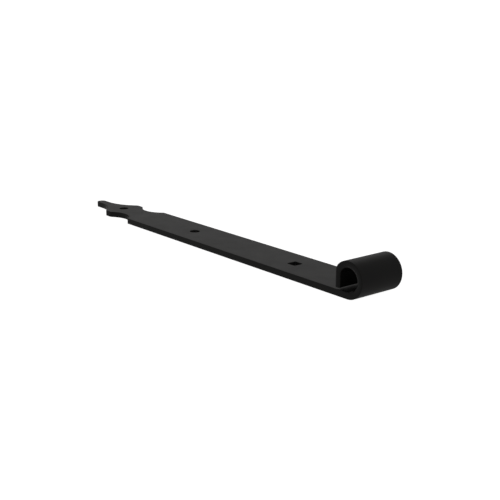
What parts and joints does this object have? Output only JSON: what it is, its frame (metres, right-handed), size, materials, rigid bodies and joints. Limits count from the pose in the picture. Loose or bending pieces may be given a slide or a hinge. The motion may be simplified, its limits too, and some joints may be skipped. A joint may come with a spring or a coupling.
{
  "type": "strap hinge band",
  "caption": "Flat black strap hinge band with a spear and lobe tip, punched fixing holes and an open rolled eye that drops over a gate hook's pin.",
  "frame": {"origin": "on the strap's back face, in the middle of the overall length and of the bar's width", "axes": "+X along the strap from the tip to the eye, +Y across the strap along the eye's axis, +Z out of the door leaf"},
  "size_m": [0.38, 0.04, 0.027],
  "materials": {
    "black_coating": "satin black powder coat, faintly textured"
  },
  "bodies": {
    "root": {"hinge_strap": "black_coating"}
  },
  "joints": []
}
